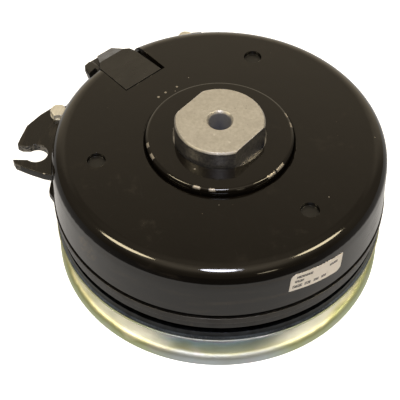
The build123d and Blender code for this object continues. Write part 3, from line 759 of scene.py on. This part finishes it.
def make_spring(direction):
    """Leaf spring with round ends: S bend up from the drive plate to the armature."""
    d = radians(direction)
    outward = Vector((cos(d), sin(d), 0))
    along = Vector((-sin(d), cos(d), 0))
    rows = []
    for step in range(SPRING_STEPS + 1):
        y = -SPRING_REACH * cos(pi * step / SPRING_STEPS)
        past = max(0.0, abs(y) - (SPRING_REACH - SPRING_HALF_WIDTH))
        half = max(SPRING_TIP, sqrt(max(0.0, SPRING_HALF_WIDTH ** 2 - past ** 2)))
        share = min(1.0, max(0.0, (y + SPRING_BEND) / (2 * SPRING_BEND)))
        low = SPRING_LOW + (SPRING_HIGH - SPRING_LOW) * share * share * (3 - 2 * share)
        row = []
        for x, z in spring_profile(half):
            row.append((outward * (SPRING_CIRCLE + x) + along * y + Vector((0, 0, low + z))) * MM)
        rows.append(row)
    piece = grid_piece("leaf_spring_%d" % direction, rows, slot_of("leaf_springs"))
    shade(piece)
    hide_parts("leaf_springs")
    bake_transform(piece)


for direction in SPRING_DIRECTIONS:
    make_spring(direction)

# Where each weld bead starts and ends round the shell, in degrees
WELD_SPANS = ((107, 116), (126, 136), (143, 153), (167, 177))
# Radius and height of the corner that the beads fill
WELD_CENTRE = (89.3, 55.6)
BEAD_RADIUS = 2.1
# Length of a bead's tapered end, of one puddle, and of one step along it
BEAD_END = 2.0
BEAD_PITCH = 2.2
BEAD_STEP = 0.3
BEAD_POINTS = 14


def make_weld(start, end):
    """Weld bead with rounded ends and the ripples of overlapping puddles."""
    radius, height = WELD_CENTRE
    length = radians(end - start) * radius
    steps = int(length / BEAD_STEP)
    rows = []
    for step in range(steps + 1):
        along = length * step / steps
        taper = sqrt(max(0.03, min(1.0, along / BEAD_END, (length - along) / BEAD_END)))
        puddle = (along / BEAD_PITCH) % 1.0
        size = BEAD_RADIUS * taper * (1 + 0.09 * sqrt(puddle) - 0.06 * sin(2.7 * along))
        a = radians(start) + along / radius
        row = []
        for point in range(BEAD_POINTS):
            b = 2 * pi * point / BEAD_POINTS
            r = radius + size * cos(b)
            row.append(Vector((r * cos(a), r * sin(a), height + size * sin(b))) * MM)
        rows.append(row)
    piece = grid_piece("weld_%d" % start, rows, slot_of("bracket_welds"))
    for face in piece.data.polygons:
        face.use_smooth = True
    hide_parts("bracket_welds")
    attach(piece, "field")


for start, end in WELD_SPANS:
    make_weld(start, end)


# ---------------------------------------------------------------- the rest of the CAD nodes

for node_name, node_object in frame["nodes"].items():
    if not node_object.hide_render:
        node_object.material_slots[0].material = finish_of(slot_of(node_name))


# ---------------------------------------------------------------- floor, light and camera

FLOOR_HEIGHT = cad_low.z - 0.02 * MM
# Half the floor's width, in metres
FLOOR_REACH = 6.0
# Reflections see a lit disc of floor under the object, in millimetres
LIT_RADIUS = 163.0
LIT_STRENGTH = 0.70
# Beyond it, reflections see the floor's light from front to back
FLOOR_LIGHT = (
    (0.0, grey(0.05)), (0.20, grey(0.12)), (0.50, grey(0.28)), (0.75, grey(0.50)), (0.92, grey(1.0)),
)
FLOOR_TINT = (1.0, 0.95, 0.88)


def make_floor():
    """Large white floor, clear from below. Reflections see it lit near and behind, and dark in front."""
    bm = bmesh.new()
    bmesh.ops.create_grid(bm, x_segments=8, y_segments=8, size=FLOOR_REACH)
    mesh = bpy.data.meshes.new("floor")
    bm.to_mesh(mesh)
    bm.free()
    floor = bpy.data.objects.new("floor", mesh)
    floor.location.z = FLOOR_HEIGHT
    bpy.context.scene.collection.objects.link(floor)
    g = Graph("floor_white")
    paper = g.mix(g.noise(120.0, 2.0), grey(0.80), grey(0.84))
    g.set(Base_Color=paper, Roughness=0.9, Emission_Color=grey(1.0), Emission_Strength=0.75)
    near = g.fade(g.radius, LIT_RADIUS - 8, LIT_RADIUS + 10, LIT_STRENGTH, 0.0)
    near = g.node("CombineXYZ", near, near, near).outputs[0]
    ahead = g.node("SeparateXYZ", g.heading).outputs[1]
    far = g.ramp(g.math("MULTIPLY_ADD", ahead, 0.5, 0.5), *FLOOR_LIGHT)
    light = g.vector("MAXIMUM", near, far)
    glow = g.node("Emission", g.vector("MULTIPLY", light, FLOOR_TINT), 1.0).outputs[0]
    seen = g.node("LightPath").outputs["Is Camera Ray"]
    both = g.node("MixShader", seen, glow, g.shader.outputs[0]).outputs[0]
    below = g.node("NewGeometry").outputs["Backfacing"]
    clear = g.node("BsdfTransparent").outputs[0]
    both = g.node("MixShader", below, both, clear).outputs[0]
    output = [node for node in g.tree.nodes if node.type == "OUTPUT_MATERIAL"][0]
    g.join(both, output.inputs["Surface"])
    mesh.materials.append(g.material)


def warm(value):
    """Warm grey of the studio's walls."""
    return (value, value * 0.85, value * 0.62, 1.0)


# Light of the studio's walls from the horizon up, behind, beside and before the object
BEHIND = ((0.0, warm(1.3)), (0.34, warm(1.15)), (0.67, warm(0.80)), (0.80, warm(0.31)), (0.98, warm(0.5)))
BESIDE = ((0.0, warm(0.22)), (0.64, warm(0.34)), (0.80, warm(0.31)), (0.98, warm(0.5)))
BEFORE = ((0.0, warm(0.12)), (0.40, warm(0.17)), (0.62, warm(0.35)), (0.90, warm(1.1)), (1.0, warm(0.6)))


def make_world():
    """White for the camera. Reflections see a pale wall behind, dim sides and a dark front."""
    world = bpy.data.worlds.new("studio")
    bpy.context.scene.world = world
    world.use_nodes = True
    g = Nodes(world.node_tree)
    way = g.node("TexCoord").outputs["Generated"]
    up = g.node("SeparateXYZ", way).outputs[2]
    level = g.vector("NORMALIZE", g.vector("MULTIPLY", way, (1, 1, 0)))
    ahead = g.node("SeparateXYZ", level).outputs[1]
    around = g.mix(g.fade(ahead, 0.50, 0.93), g.ramp(up, *BESIDE), g.ramp(up, *BEHIND))
    around = g.mix(g.fade(ahead, -0.10, -0.50), around, g.ramp(up, *BEFORE))
    camera_sees = g.node("LightPath").outputs["Is Camera Ray"]
    both = g.mix(camera_sees, around, grey(1.0))
    background = g.node("Background", both).outputs[0]
    g.join(background, g.node("OutputWorld").inputs["Surface"])


WARM_LIGHT = (1.0, 0.85, 0.56)
# Elliptical lights: name, place, point faced, size, radiance, colour and turn about its own axis.
# Places and sizes are in metres and turns in degrees.
SOFTBOXES = (
    ("front_softbox", (0.006, -0.470, 0.885), (0, -0.083, 0.075), (0.25, 0.19), 29.0, (0.87, 0.88, 1.0), 0.0),
    ("left_softbox", (-0.570, -0.215, 0.795), (-0.050, -0.066, 0.075), (0.41, 0.17), 15.0, WARM_LIGHT, 45.0),
    ("right_softbox", (0.590, -0.160, 0.790), (0.053, -0.064, 0.075), (0.37, 0.17), 15.0, WARM_LIGHT, -45.0),
    ("low_lamp", (0.422, -0.841, 0.350), (0.020, -0.085, 0.072), (0.19, 0.11), 4.5, (1.0, 0.86, 0.60), 0.0),
)


def make_softbox(name, place, aim, size, radiance, colour, roll):
    """Elliptical area light at a place, facing a point, turned about its own axis."""
    data = bpy.data.lights.new(name, "AREA")
    data.shape = "ELLIPSE"
    data.size, data.size_y = size
    data.energy = radiance * pi * size[0] * size[1]
    data.color = colour
    box = bpy.data.objects.new(name, data)
    box.location = place
    facing = (Vector(place) - Vector(aim)).to_track_quat("Z", "Y")
    box.rotation_euler = (facing @ Quaternion((0, 0, 1), radians(roll))).to_euler()
    box.visible_camera = False
    bpy.context.scene.collection.objects.link(box)


# The camera's place in metres, its tilt up from straight down in degrees, and its lens and sensor
CAMERA_PLACE = (-0.01021, -0.41587, 0.52491)
CAMERA_TILT = 39.85
CAMERA_LENS = 105.65
CAMERA_SENSOR = 36.0


def make_camera():
    """Camera in front of the object, looking down at it."""
    data = bpy.data.cameras.new("camera")
    data.lens = CAMERA_LENS
    data.sensor_width = CAMERA_SENSOR
    camera = bpy.data.objects.new("camera", data)
    camera.location = CAMERA_PLACE
    camera.rotation_euler = (radians(CAMERA_TILT), 0.0, 0.0)
    bpy.context.scene.collection.objects.link(camera)
    bpy.context.scene.camera = camera


make_floor()
make_world()
for softbox in SOFTBOXES:
    make_softbox(*softbox)
make_camera()
bpy.context.scene.view_settings.view_transform = "Standard"
